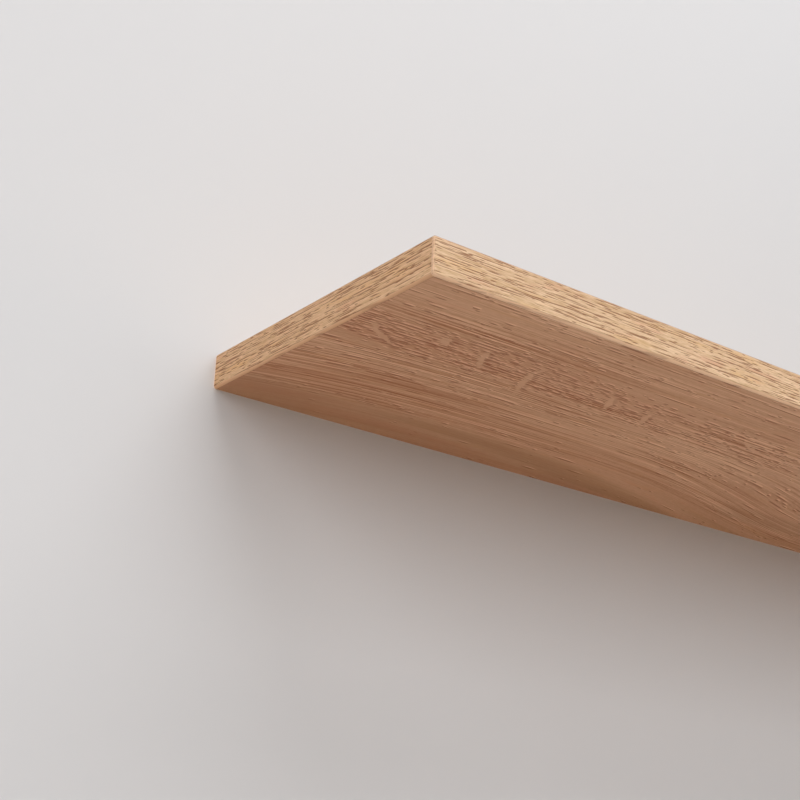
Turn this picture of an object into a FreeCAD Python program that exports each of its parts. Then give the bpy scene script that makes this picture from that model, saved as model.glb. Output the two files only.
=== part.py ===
import FreeCAD, Part
import math
import os

# Floating wall shelf: a laminated, edge-banded chipboard shelf board that hides its own bracket.
# The bracket is a steel rail with two rods. The rail is screwed to the wall through wall plugs,
# and the board slides onto the rods, which run in plastic sleeves pressed into its back edge.
#
# Frame: X runs along the shelf, and X = 0 is its middle. Y = 0 is the wall's surface, with +Y into
# the wall and -Y into the room. Z = 0 is the middle of the board's thickness, the rods' own height.
# All sizes are in millimetres.

# ---- Board -----------------------------------------------------------------------------------
shelf_length = 800.0            # end face to end face
shelf_depth = 240.0             # wall to front face
shelf_thickness = 25.0          # top face to underside
edge_radius = 2.0               # rounding along the front and the ends
corner_radius = 1.2             # rounding of the two upright front corners
laminate_thickness = 0.6        # decor laminate on the top and on the underside
front_band_thickness = 2.0      # edge band along the front
end_band_thickness = 2.0        # edge band on each end

# ---- Bracket: rail and rods --------------------------------------------------------------------
rod_spacing = 450.0             # between the two rods' axes
rod_diameter = 12.0
rod_reach = 130.0               # from the rail's face to the rod's tip
rod_tip_chamfer = 1.5
rod_spigot_diameter = 8.0       # turned-down end that is riveted through the rail
weld_leg = 1.5                  # fillet weld round the rod's root
rail_height = 15.0
rail_thickness = 4.0
rail_end_margin = 15.0          # from the outer screw's axis to the rail's end

# ---- Screws and wall plugs ---------------------------------------------------------------------
screw_offset = 45.0             # from a rod's axis to the screw on either side of it
screw_diameter = 5.0
screw_head_diameter = 9.5
screw_length = 60.0             # countersunk, so measured from the top of the head
screw_point_length = 7.0
screw_hole_clearance = 0.25     # all round the shank, in the rail
recess_width = 4.6              # across the arms of the cross recess
recess_arm_width = 1.1
recess_depth = 2.2
recess_taper = 0.45             # size at the recess's floor, as a share of the size at its mouth
plug_diameter = 8.0
plug_length = 40.0
plug_set_back = 3.0             # from the wall's surface down to the plug's collar
plug_collar_length = 8.0        # closed ring that the two legs stand on
plug_nose_length = 8.0
plug_nose_taper = 3.0           # length of the chamfer at the tip
plug_nose_diameter = 6.4
plug_tooth_pitch = 8.0
plug_tooth_depth = 0.7
plug_slot_width = 1.0
plug_grip_clearance = 0.1       # between the screw and the plug's bore

# ---- Sleeves in the board ------------------------------------------------------------------------
sleeve_wall = 1.3
sleeve_flange_clearance = 0.3   # between the flange's rim and the groove's top and bottom
sleeve_flange_thickness = 1.2
sleeve_end_wall = 2.0
sleeve_vent_diameter = 3.0      # lets the air out as the rod goes in
sleeve_grip_height = 0.45       # how far the ribs and barbs stand out from the barrel
sleeve_rib_count = 6
sleeve_rib_width = 1.2
sleeve_barb_count = 2
sleeve_barb_pitch = 10.0
sleeve_barb_slope = 4.0         # length of a barb's ramp
sleeve_tail_chamfer = 0.8
rod_running_clearance = 0.05    # all round the rod, in its sleeve
rod_end_clearance = 3.0         # from the rod's tip to the sleeve's floor
bore_end_clearance = 1.0        # from the sleeve's end to the bottom of its bore
weld_clearance = 0.3            # between the weld and the sleeve's lead-in

# ---- Groove for the rail ---------------------------------------------------------------------------
rail_side_clearance = 1.0       # above, below and past the rail
rail_face_clearance = 0.4       # between the rail's face and the sleeves' flanges

# ---- Sizes that follow ---------------------------------------------------------------------------
end_x = shelf_length / 2
top_z = shelf_thickness / 2
core_front_y = front_band_thickness - shelf_depth
core_end_x = end_x - end_band_thickness
core_top_z = top_z - laminate_thickness

rod_radius = rod_diameter / 2
rod_places = {"left": -rod_spacing / 2, "right": rod_spacing / 2}
screw_places = [rod_x + side * screw_offset for rod_x in rod_places.values() for side in (-1, 1)]
screw_radius = screw_diameter / 2
screw_hole_radius = screw_radius + screw_hole_clearance
screw_head_radius = screw_head_diameter / 2

rail_half_length = rod_spacing / 2 + screw_offset + rail_end_margin
rail_face_y = -rail_thickness
rod_tip_y = rail_face_y - rod_reach

flange_face_y = rail_face_y - rail_face_clearance
groove_floor_y = flange_face_y - sleeve_flange_thickness
groove_height = rail_height + 2 * rail_side_clearance
groove_half_length = rail_half_length + rail_side_clearance

sleeve_bore_radius = rod_radius + rod_running_clearance
sleeve_barrel_radius = sleeve_bore_radius + sleeve_wall
sleeve_grip_radius = sleeve_barrel_radius + sleeve_grip_height
sleeve_flange_radius = groove_height / 2 - sleeve_flange_clearance
sleeve_floor_y = rod_tip_y - rod_end_clearance
sleeve_end_y = sleeve_floor_y - sleeve_end_wall
bore_end_y = sleeve_end_y - bore_end_clearance

Y_AXIS = FreeCAD.Vector(0, 1, 0)


# ---- Ways of making a solid --------------------------------------------------------------------
def block(x_limits, y_limits, z_limits):
    """A box between two limits along each axis."""
    corner = FreeCAD.Vector(x_limits[0], y_limits[0], z_limits[0])
    sizes = [high - low for low, high in (x_limits, y_limits, z_limits)]
    return Part.makeBox(*sizes, corner)


def turned(outline, centre_x):
    """The solid of a closed outline of (radius, y) points, turned about an axis along Y."""
    points = [FreeCAD.Vector(centre_x + radius, y, 0) for radius, y in outline]
    face = Part.Face(Part.makePolygon(points + points[:1]))
    return face.revolve(FreeCAD.Vector(centre_x, 0, 0), Y_AXIS, 360)


def rod_shaped(radius, centre_x, y_start, y_end):
    """A plain cylinder along Y."""
    return Part.makeCylinder(radius, y_end - y_start, FreeCAD.Vector(centre_x, y_start, 0), Y_AXIS)


def round_ended_bar(half_length, height, y_start, y_end):
    """A flat bar along X with full-round ends, standing on edge between two Y planes."""
    radius = height / 2
    straight = half_length - radius
    corners = [FreeCAD.Vector(x, y_start, z) for x, z in (
        (-straight, -radius), (straight, -radius), (straight, radius), (-straight, radius))]
    right_end = Part.Arc(corners[1], FreeCAD.Vector(half_length, y_start, 0), corners[2])
    left_end = Part.Arc(corners[3], FreeCAD.Vector(-half_length, y_start, 0), corners[0])
    outline = Part.Wire([
        Part.makeLine(corners[0], corners[1]),
        right_end.toShape(),
        Part.makeLine(corners[2], corners[3]),
        left_end.toShape(),
    ])
    return Part.Face(outline).extrude(FreeCAD.Vector(0, y_end - y_start, 0))


# ---- Board ---------------------------------------------------------------------------------------
def is_upright(edge):
    return edge.BoundBox.ZLength > top_z


def is_at_wall(edge):
    return edge.BoundBox.YMin > -edge_radius


def board_blank():
    """The whole board as one rounded block, from which its layers are cut."""
    blank = block((-end_x, end_x), (-shelf_depth, 0), (-top_z, top_z))
    front_corners = [edge for edge in blank.Edges if is_upright(edge) and not is_at_wall(edge)]
    blank = blank.makeFillet(corner_radius, front_corners)
    rims = [edge for edge in blank.Edges if not is_upright(edge) and not is_at_wall(edge)]
    return blank.makeFillet(edge_radius, rims)


def board_layer(x_limits, y_limits, z_limits):
    """The part of the rounded board that lies between these limits."""
    return board_blank().common(block(x_limits, y_limits, z_limits)).Solids[0]


def front_edge_band():
    return board_layer((-end_x, end_x), (-shelf_depth, core_front_y), (-top_z, top_z))


def end_band(side):
    """The edge band on the left (-1) or right (1) end, butted against the back of the front band."""
    x_limits = sorted((side * core_end_x, side * end_x))
    return board_layer(x_limits, (core_front_y, 0), (-top_z, top_z))


def laminate(side):
    """The decor laminate on the underside (-1) or the top (1)."""
    z_limits = sorted((side * core_top_z, side * top_z))
    return board_layer((-core_end_x, core_end_x), (core_front_y, 0), z_limits)


def chipboard_core():
    """The board's core, with the groove for the rail and a blind bore for each sleeve."""
    core = board_layer((-core_end_x, core_end_x), (core_front_y, 0), (-core_top_z, core_top_z))
    core = core.cut(round_ended_bar(groove_half_length, groove_height, groove_floor_y, 0))
    for rod_x in rod_places.values():
        core = core.cut(rod_shaped(sleeve_grip_radius, rod_x, bore_end_y, groove_floor_y))
    return core


def sleeve_ribs(rod_x):
    """The ribs along a sleeve, rooted in its wall, which keep it from turning in its bore."""
    root_x = rod_x + sleeve_barrel_radius - sleeve_wall / 2
    crest_x = rod_x + sleeve_grip_radius
    y_limits = (sleeve_end_y + sleeve_tail_chamfer, groove_floor_y)
    rib = block((root_x, crest_x), y_limits, (-sleeve_rib_width / 2, sleeve_rib_width / 2))
    rib = rib.common(rod_shaped(sleeve_grip_radius, rod_x, *y_limits))
    axis_point = FreeCAD.Vector(rod_x, 0, 0)
    return [rib.rotated(axis_point, Y_AXIS, 360 * turn / sleeve_rib_count) for turn in range(sleeve_rib_count)]


def rod_sleeve(rod_x):
    """A moulded sleeve: a flange and lead-in at the mouth, barbs and ribs outside, a vented end."""
    lead_in_radius = rod_radius + weld_leg - rail_face_clearance + weld_clearance
    lead_in_depth = lead_in_radius - sleeve_bore_radius
    vent_radius = sleeve_vent_diameter / 2
    outline = [
        (vent_radius, sleeve_end_y),
        (vent_radius, sleeve_floor_y),
        (sleeve_bore_radius, sleeve_floor_y),
        (sleeve_bore_radius, flange_face_y - lead_in_depth),
        (lead_in_radius, flange_face_y),
        (sleeve_flange_radius, flange_face_y),
        (sleeve_flange_radius, groove_floor_y),
        (sleeve_barrel_radius, groove_floor_y),
    ]
    for barb in range(1, sleeve_barb_count + 1):
        barb_y = groove_floor_y - barb * sleeve_barb_pitch + sleeve_barb_slope
        outline += [
            (sleeve_barrel_radius, barb_y),
            (sleeve_grip_radius, barb_y),
            (sleeve_barrel_radius, barb_y - sleeve_barb_slope),
        ]
    outline += [
        (sleeve_barrel_radius, sleeve_end_y + sleeve_tail_chamfer),
        (sleeve_barrel_radius - sleeve_tail_chamfer, sleeve_end_y),
    ]
    return turned(outline, rod_x).fuse(sleeve_ribs(rod_x))


# ---- Bracket -------------------------------------------------------------------------------------
def countersink(screw_x):
    """The screw's clearance hole through the rail, with the seat for its head."""
    seat_depth = screw_head_radius - screw_hole_radius
    outline = [
        (0, 0),
        (screw_hole_radius, 0),
        (screw_hole_radius, rail_face_y + seat_depth),
        (screw_head_radius, rail_face_y),
        (0, rail_face_y),
    ]
    return turned(outline, screw_x)


def wall_rail():
    rail = round_ended_bar(rail_half_length, rail_height, rail_face_y, 0)
    for rod_x in rod_places.values():
        rail = rail.cut(rod_shaped(rod_spigot_diameter / 2, rod_x, rail_face_y, 0))
    for screw_x in screw_places:
        rail = rail.cut(countersink(screw_x))
    return rail


def support_rod(rod_x):
    """A rod with its tip chamfered, its spigot through the rail and the weld round its root."""
    outline = [
        (0, 0),
        (rod_spigot_diameter / 2, 0),
        (rod_spigot_diameter / 2, rail_face_y),
        (rod_radius + weld_leg, rail_face_y),
        (rod_radius, rail_face_y - weld_leg),
        (rod_radius, rod_tip_y + rod_tip_chamfer),
        (rod_radius - rod_tip_chamfer, rod_tip_y),
        (0, rod_tip_y),
    ]
    return turned(outline, rod_x)


# ---- Screws and wall plugs ---------------------------------------------------------------------
def cross_outline(screw_x, y, scale):
    """A plus-shaped wire of the recess's size times scale, square to the screw's axis."""
    reach = scale * recess_width / 2
    arm = scale * recess_arm_width / 2
    quarter = [(reach, -arm), (reach, arm), (arm, arm)]
    points = []
    for turn in range(4):
        cosine = round(math.cos(turn * math.pi / 2))
        sine = round(math.sin(turn * math.pi / 2))
        for across, up in quarter:
            x = screw_x + across * cosine - up * sine
            z = across * sine + up * cosine
            points.append(FreeCAD.Vector(x, y, z))
    return Part.makePolygon(points + points[:1])


def wall_screw(screw_x):
    """A countersunk wood screw with a cross recess, in plain outline."""
    tip_y = rail_face_y + screw_length
    outline = [
        (0, rail_face_y),
        (screw_head_radius, rail_face_y),
        (screw_radius, rail_face_y + screw_head_radius - screw_radius),
        (screw_radius, tip_y - screw_point_length),
        (0, tip_y),
    ]
    recess = Part.makeLoft([
        cross_outline(screw_x, rail_face_y, 1.0),
        cross_outline(screw_x, rail_face_y + recess_depth, recess_taper),
    ], True)
    return turned(outline, screw_x).cut(recess)


def wall_plug(screw_x):
    """A moulded plug: a closed collar, then two legs with saw teeth, and a tapered nose."""
    radius = plug_diameter / 2
    start_y = plug_set_back
    end_y = start_y + plug_length
    legs_y = start_y + plug_collar_length
    nose_y = end_y - plug_nose_length
    outline = [(radius, start_y)]
    tooth_count = math.floor((nose_y - legs_y) / plug_tooth_pitch)
    for tooth in range(tooth_count):
        tooth_y = legs_y + tooth * plug_tooth_pitch
        outline += [
            (radius, tooth_y),
            (radius - plug_tooth_depth, tooth_y),
        ]
    outline.append((radius, legs_y + tooth_count * plug_tooth_pitch))
    bore_radius = screw_radius + plug_grip_clearance
    outline += [
        (radius, end_y - plug_nose_taper),
        (plug_nose_diameter / 2, end_y),
        (bore_radius, end_y),
        (bore_radius, start_y),
    ]
    half_slot = plug_slot_width / 2
    slot = block((screw_x - radius, screw_x + radius), (legs_y, end_y), (-half_slot, half_slot))
    return turned(outline, screw_x).cut(slot)


# ---- The shelf's pieces, one node each -------------------------------------------------------------
def one_solid(shape):
    """The single solid that a finished piece has to be."""
    if len(shape.Solids) != 1 or not shape.isValid():
        raise ValueError("a piece isn't one valid solid")
    return shape.Solids[0]


pieces = {
    "chipboard_core": [chipboard_core()],
    "top_laminate": [laminate(1)],
    "underside_laminate": [laminate(-1)],
    "front_edge_band": [front_edge_band()],
    "left_end_band": [end_band(-1)],
    "right_end_band": [end_band(1)],
    "wall_rail": [wall_rail()],
    "wall_screws": [wall_screw(screw_x) for screw_x in screw_places],
    "wall_plugs": [wall_plug(screw_x) for screw_x in screw_places],
}
for side_name, side_x in rod_places.items():
    pieces[side_name + "_support_rod"] = [support_rod(side_x)]
    pieces[side_name + "_rod_sleeve"] = [rod_sleeve(side_x)]

os.makedirs("parts", exist_ok=True)
for node, shapes in pieces.items():
    solids = [one_solid(shape) for shape in shapes]
    whole = solids[0] if len(solids) == 1 else Part.makeCompound(solids)
    whole.exportStep(os.path.join("parts", node + ".step"))
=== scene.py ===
import math

import bmesh
import bpy
from bpy.props import FloatProperty, FloatVectorProperty, IntProperty, PointerProperty
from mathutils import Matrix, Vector


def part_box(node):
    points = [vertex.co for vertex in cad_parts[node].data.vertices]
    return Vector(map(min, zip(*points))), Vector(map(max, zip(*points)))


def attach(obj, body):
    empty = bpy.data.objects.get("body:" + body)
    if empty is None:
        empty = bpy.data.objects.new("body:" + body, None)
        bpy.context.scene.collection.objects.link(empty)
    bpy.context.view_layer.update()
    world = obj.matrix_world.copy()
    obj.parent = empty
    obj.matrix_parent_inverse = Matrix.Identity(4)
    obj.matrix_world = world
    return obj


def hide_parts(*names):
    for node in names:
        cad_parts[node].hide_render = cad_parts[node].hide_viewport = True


# Finishes for a floating wall shelf: an oak-decor board on a hidden steel bracket. The CAD nodes of
# the board, rail, rods, sleeves and plugs keep their shapes and get materials. The screws, whose
# CAD shapes are plain, are replaced by pieces with real threads, and the rods get weld beads.
#
# Frame: X along the shelf, Y = 0 on the wall with +Y into it, Z up. All lengths are in metres.

bl_info = {
    "name": "Floating Wall Shelf",
    "version": (1, 0, 0),
    "blender": (4, 5, 0),
    "location": "3D View > Sidebar > Shelf",
    "description": "Finishes the shelf's board, bracket and fasteners, and lights them",
    "category": "Object",
}

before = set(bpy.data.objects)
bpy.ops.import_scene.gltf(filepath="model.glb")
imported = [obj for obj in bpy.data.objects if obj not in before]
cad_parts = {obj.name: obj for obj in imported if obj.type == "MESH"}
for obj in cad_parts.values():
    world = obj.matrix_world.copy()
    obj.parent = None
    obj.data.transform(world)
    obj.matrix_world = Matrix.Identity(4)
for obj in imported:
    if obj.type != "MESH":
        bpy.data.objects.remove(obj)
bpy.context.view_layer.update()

MM = 0.001
BRACKET = "wall_bracket"


def srgb(red, green, blue):
    """The scene-linear colour of three display values from 0 to 255."""
    shares = [value / 255 for value in (red, green, blue)]
    return tuple(s / 12.92 if s <= 0.04045 else ((s + 0.055) / 1.055) ** 2.4 for s in shares)


# ---- Places read from the frame ------------------------------------------------------------------
laminate_front_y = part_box("underside_laminate")[0].y
laminate_end_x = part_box("underside_laminate")[1].x
front_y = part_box("front_edge_band")[0].y
end_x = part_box("front_edge_band")[1].x
top_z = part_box("top_laminate")[1].z
rail_face_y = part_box("wall_rail")[0].y
screws_low, screws_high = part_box("wall_screws")
rod_boxes = {side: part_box(side + "_support_rod") for side in ("left", "right")}


def screw_places():
    """The X of each screw's axis, read from where the screws' node has its solids."""
    head_radius = screws_high.z
    places = []
    for x in sorted(vertex.co.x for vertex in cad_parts["wall_screws"].data.vertices):
        if not places or x > places[-1] + 2 * head_radius:
            places.append(x + head_radius)
    return places


# ---- Settings ------------------------------------------------------------------------------------
def length(name, description, millimetres):
    """A length that a user can set, in metres."""
    return FloatProperty(name=name, description=description, default=millimetres * MM,
                         min=0.0, precision=5, unit="LENGTH")


def colour(name, description, red, green, blue):
    """A colour that a user can set, written as display values."""
    return FloatVectorProperty(name=name, description=description, default=srgb(red, green, blue),
                               min=0.0, max=1.0, size=3, subtype="COLOR")


def plain_number(name, description, value, highest=1.0):
    """A number from nothing to a highest value."""
    return FloatProperty(name=name, description=description, default=value, min=0.0, max=highest)


def wattage(name, description, watts):
    """A lamp's power."""
    return FloatProperty(name=name, description=description, default=watts, min=0.0, unit="POWER")


class ShelfBandSettings(bpy.types.PropertyGroup):
    """The edge bands' decor."""

    light_wood: colour("Light wood", "Palest tone between the pores", 242, 209, 174)
    dark_wood: colour("Dark wood", "Deepest tone between the pores", 194, 155, 111)
    golden_wood: colour("Golden patches", "Tone of the golden patches", 228, 186, 132)
    pink_wood: colour("Pink patches", "Tone of the pink patches", 220, 168, 138)
    pore: colour("Pores", "Tone inside the pores", 126, 67, 18)
    corner: colour("Milled corner", "Plain plastic of the rounded upright corners", 230, 189, 154)
    # Painted light: the lower milled rim is paler than the plain plastic, standing in for light on the
    # rounding that faces down.
    lower_rim_painted_light: colour("Lower milled edge", "Plain plastic along the underside, buffed pale", 255, 216, 182)
    # Painted light on the end bands' lower rim, dimmer than on the front band's, as the ends stand more in
    # shade.
    end_lower_rim_painted_light: colour("Lower milled edge of the ends", "Plain plastic under the end bands", 222, 181, 145)
    # Painted shade: the upper milled rim is darker than the plain plastic, so the rounding that faces up does
    # not look lit.
    upper_rim_painted_shade: colour("Upper milled edge", "Plain plastic along the top, dulled by dust", 146, 122, 106)
    # Painted shade: the end bands are a warmer, darker copy of the front band's decor, for the dimmer, warmer
    # light on the ends.
    end_painted_shade: colour("End tint", "What the decor of the end bands is multiplied by", 255, 245, 235)
    print_thickness: length("Print thickness", "Printed layer that milling the edges cuts through", 0.1)
    emboss: length("Emboss", "Depth of the pores", 0.03)


class ShelfLaminateSettings(bpy.types.PropertyGroup):
    """The decor of the board's faces."""

    # The five decor tones below are the underside's, redder and warmer than the bands': painted warm light
    # reflected under the shelf. The top takes the bands' tones.
    light_wood: colour("Light wood", "Palest tone between the pores", 248, 205, 168)
    dark_wood: colour("Dark wood", "Deepest tone between the pores", 167, 97, 50)
    golden_wood: colour("Golden patches", "Tone of the golden patches", 220, 164, 112)
    pink_wood: colour("Pink patches", "Tone of the pink patches", 216, 150, 114)
    pore: colour("Pores", "Tone inside the pores", 136, 57, 13)
    red_stripe: colour("Red stripes", "Tone of the broad red stripes near the wall", 196, 124, 88)
    brown_stripe: colour("Brown stripes", "Tone of the broad brown stripes near the wall", 172, 126, 80)
    body: colour("Laminate body", "Resin paper that the cut edges show", 120, 88, 62)
    figure_y: length("Figured stripe", "From the wall to the middle of the figured stripe", 163)
    figure_width: length("Figured stripe's width", "Width of the stripe with rays", 42)
    smooth_width: length("Smooth stripe", "Width of the stripe without pores along the wall", 54)
    dark_y: length("Dark growth", "From the wall to the dark band of growth, at the arch's middle", 84)
    dark_width: length("Dark growth's width", "Width of the dark band of growth", 44)
    pale_y: length("Pale growth", "From the wall to the pale band of growth", 118)
    pale_width: length("Pale growth's width", "Width of the pale band of growth", 34)
    second_y: length("Second heart", "From the wall to the second heart", 46)
    second_width: length("Second heart's width", "Width of the second heart", 28)
    arch_x: length("Arch's middle", "From the shelf's middle to the left, where the grain arches", 190)
    arch_repeat: length("Arch's repeat", "From one arch of the grain to the next", 800)
    arch_height: length("Arch's height", "How far the grain's arches rise from the wall", 56)
    heart: colour("Heart", "Tone inside the innermost arch", 140, 92, 50)
    glue: colour("Glue line", "Joint between the laminate and the edge bands", 134, 94, 68)
    glue_width: length("Glue line's width", "Width of the joint with the edge bands", 0.3)
    emboss: length("Emboss", "Depth of the pores", 0.03)
    top_emboss: length("Emboss of the top", "Depth of the pores of the top", 0.012)


class ShelfCoreSettings(bpy.types.PropertyGroup):
    """The raw chipboard."""

    pale_chip: colour("Pale chips", "Palest tone of a chip", 214, 182, 138)
    deep_chip: colour("Deep chips", "Deepest tone of a chip", 150, 112, 74)
    fibre: colour("Fibres", "Tone of the fibres within the chips", 126, 92, 58)
    gap: colour("Gaps", "Shade between two chips", 84, 58, 36)


class ShelfFittingSettings(bpy.types.PropertyGroup):
    """The bracket's and screws' plating, and the nylon of the sleeves and plugs."""

    zinc_bright: colour("Bright zinc", "Palest clouds of the bracket's plating", 196, 198, 202)
    zinc_dull: colour("Dull zinc", "Deepest clouds of the bracket's plating", 168, 171, 177)
    zinc_stain: colour("Stained zinc", "Tone of the bracket's stains", 182, 185, 170)
    zinc_staining: plain_number("Staining of zinc", "How strong the bracket's stains are", 0.25)
    yellow_bright: colour("Bright yellow zinc", "Palest clouds of the screws' plating", 226, 196, 126)
    yellow_dull: colour("Dull yellow zinc", "Deepest clouds of the screws' plating", 206, 170, 98)
    yellow_stain: colour("Stained yellow zinc", "Tone of the screws' stains", 196, 190, 128)
    yellow_staining: plain_number("Staining of yellow zinc", "How strong the screws' stains are", 0.5)
    sleeve_pale: colour("Pale sleeve", "Palest tone of the sleeves' nylon", 52, 52, 54)
    sleeve_deep: colour("Deep sleeve", "Deepest tone of the sleeves' nylon", 38, 38, 40)
    plug_pale: colour("Pale plug", "Palest tone of the plugs' nylon", 168, 171, 173)
    plug_deep: colour("Deep plug", "Deepest tone of the plugs' nylon", 148, 151, 154)


class ShelfScrewSettings(bpy.types.PropertyGroup):
    """The threaded screws."""

    sides: IntProperty(name="Sides", description="Flats round the screw", default=32, min=12, max=96)
    shank_diameter: length("Shank", "Smooth part below the head", 3.7)
    core_diameter: length("Core", "Root of the thread", 3.1)
    thread_diameter: length("Thread", "Crest of the thread", 5.0)
    thread_pitch: length("Pitch", "One turn of the thread", 2.2)
    thread_length: length("Thread length", "From the point to where the thread begins", 38.0)
    point_length: length("Point", "Tapered end", 7.0)
    recess_width: length("Recess", "Across the arms of the cross recess", 4.6)
    recess_depth: length("Recess depth", "Depth of the cross recess", 2.2)


class ShelfWeldSettings(bpy.types.PropertyGroup):
    """The weld beads round the rods' roots."""

    bead_diameter: length("Bead", "Thickness of the bead", 1.1)
    inset: length("Inset", "From the weld's toe in to the middle of the bead", 1.0)
    off_rail: length("Off the rail", "From the rail's face to the middle of the bead", 0.5)
    ripples: IntProperty(name="Ripples", description="Ripples round a rod", default=36, min=8, max=90)
    ripple_depth: plain_number("Ripple depth", "How much thinner the bead is between two ripples", 0.22)


class ShelfStageSettings(bpy.types.PropertyGroup):
    """Wall, floor, lamps and camera."""

    wall: colour("Wall", "Plain wall paint", 222, 222, 224)
    floor: colour("Floor", "Plain floor", 212, 197, 180)
    backdrop: colour("Backdrop", "What shows past the wall and floor", 216, 216, 218)
    sky: plain_number("Sky", "Light from all round", 0.1, 2.0)
    front_power: wattage("Front lamp", "Lamp before the shelf, a little above it", 47)
    side_power: wattage("Side lamp", "Lamp on the left", 28)
    top_power: wattage("Top lamp", "Lamp above the shelf", 40)
    back_power: wattage("Back lamp", "Lamp behind the wall, for the bracket's back", 130)
    shelf_height: length("Shelf height", "From the floor to the shelf", 1500)
    lens: FloatProperty(name="Lens", description="Camera's focal length in millimetres", default=66.22)


# ---- Drawing node trees --------------------------------------------------------------------------
class Wiring:
    """Adds nodes to one node tree and wires them together."""

    def __init__(self, tree):
        self.tree = tree

    def feed(self, socket, value):
        """Links an output to this input, or writes a plain value on it."""
        if isinstance(value, bpy.types.NodeSocket):
            self.tree.links.new(value, socket)
        elif socket.type == "RGBA" and len(value) == 3:
            socket.default_value = (*value, 1.0)
        else:
            socket.default_value = value

    def node(self, kind, inputs=None, **settings):
        """A new node with these settings, and with these values or links at its inputs."""
        made = self.tree.nodes.new(kind)
        for name, value in settings.items():
            setattr(made, name, value)
        for key, value in (inputs or {}).items():
            self.feed(made.inputs[key], value)
        return made

    def group(self, tree, inputs):
        """A node group placed in this tree, with these inputs. Gives its outputs."""
        return self.node("ShaderNodeGroup", inputs, node_tree=tree).outputs

    def math(self, operation, *values, clamp=False):
        """One step of arithmetic on numbers."""
        inputs = dict(enumerate(values))
        return self.node("ShaderNodeMath", inputs, operation=operation, use_clamp=clamp).outputs[0]

    def plus(self, first, second):
        """The sum."""
        return self.math("ADD", first, second)

    def minus(self, first, second, clamp=False):
        """The first less the second."""
        return self.math("SUBTRACT", first, second, clamp=clamp)

    def times(self, first, second):
        """The product."""
        return self.math("MULTIPLY", first, second)

    def over(self, first, second):
        """The first divided by the second."""
        return self.math("DIVIDE", first, second)

    def times_plus(self, value, factor, extra, clamp=False):
        """The value times a factor, plus something extra."""
        return self.math("MULTIPLY_ADD", value, factor, extra, clamp=clamp)

    def larger(self, first, second):
        """The larger of the two."""
        return self.math("MAXIMUM", first, second)

    def absolute(self, value):
        """The value without its sign."""
        return self.math("ABSOLUTE", value)

    def vector(self, x, y, z=0.0):
        """A vector of three numbers."""
        return self.node("ShaderNodeCombineXYZ", {"X": x, "Y": y, "Z": z}).outputs[0]

    def vector_math(self, operation, first, second):
        """One step of arithmetic on vectors."""
        return self.node("ShaderNodeVectorMath", {0: first, 1: second}, operation=operation).outputs[0]

    def parts(self, vector):
        """The three numbers of a vector."""
        return self.node("ShaderNodeSeparateXYZ", {0: vector}).outputs

    def channels(self, tone):
        """The three numbers of a colour."""
        return self.node("ShaderNodeSeparateColor", {0: tone}).outputs

    def stretched(self, vector, along, across, deep):
        """A vector with each axis times its own number."""
        return self.vector_math("MULTIPLY", vector, (along, across, deep))

    def noise(self, vector, detail=2.0, distortion=0.0, output="Fac"):
        """Soft noise between 0 and 1, about one blob to a unit."""
        inputs = {"Vector": vector, "Scale": 1.0, "Detail": detail, "Distortion": distortion}
        return self.node("ShaderNodeTexNoise", inputs).outputs[output]

    def clouds(self, vector, along, across, deep, detail=2.0, **more):
        """Noise with this many blobs to a metre along each axis."""
        return self.noise(self.stretched(vector, along, across, deep), detail, **more)

    def centred(self, noise):
        """Noise moved so that it swings about 0."""
        return self.minus(noise, 0.5)

    def ramp(self, value, start, end, low=0.0, high=1.0):
        """A smooth step from low, where value is at start, to high, where it is at end."""
        inputs = {"Value": value, "From Min": start, "From Max": end, "To Min": low, "To Max": high}
        return self.node("ShaderNodeMapRange", inputs, interpolation_type="SMOOTHSTEP").outputs[0]

    def between(self, share, first, second):
        """The first number where share is 0, the second where it is 1."""
        return self.node("ShaderNodeMix", {0: share, 2: first, 3: second}).outputs[0]

    def blend(self, share, first, second, blend_type="MIX"):
        """The first colour where share is 0, the second, or what it makes of the first, where it is 1."""
        inputs = {0: share, 6: first, 7: second}
        return self.node("ShaderNodeMix", inputs, data_type="RGBA", blend_type=blend_type).outputs[2]

    def overlay(self, base, *layers):
        """Lays tones over a base colour in order. Each layer is its share and its tone."""
        for share, tone in layers:
            base = self.blend(share, base, tone)
        return base


def empty_wiring(owner):
    """Gives a material or a world an empty node tree, and the wiring for it."""
    owner.use_nodes = True
    owner.node_tree.nodes.clear()
    return Wiring(owner.node_tree)


def new_group(name, inputs, outputs):
    """An empty shader node group. Each socket is a (name, kind, default) row."""
    tree = bpy.data.node_groups.new(name, "ShaderNodeTree")
    for direction, rows in (("INPUT", inputs), ("OUTPUT", outputs)):
        for socket_name, kind, default in rows:
            socket = tree.interface.new_socket(socket_name, in_out=direction, socket_type="NodeSocket" + kind)
            if default is not None:
                socket.default_value = default
    entry = tree.nodes.new("NodeGroupInput").outputs
    leave = tree.nodes.new("NodeGroupOutput").inputs
    return Wiring(tree), entry, leave


def once(build):
    """Makes a node group's builder give the group that it built the first time."""
    built = {}

    def give():
        if "tree" not in built:
            built["tree"] = build()
        return built["tree"]

    return give


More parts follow.
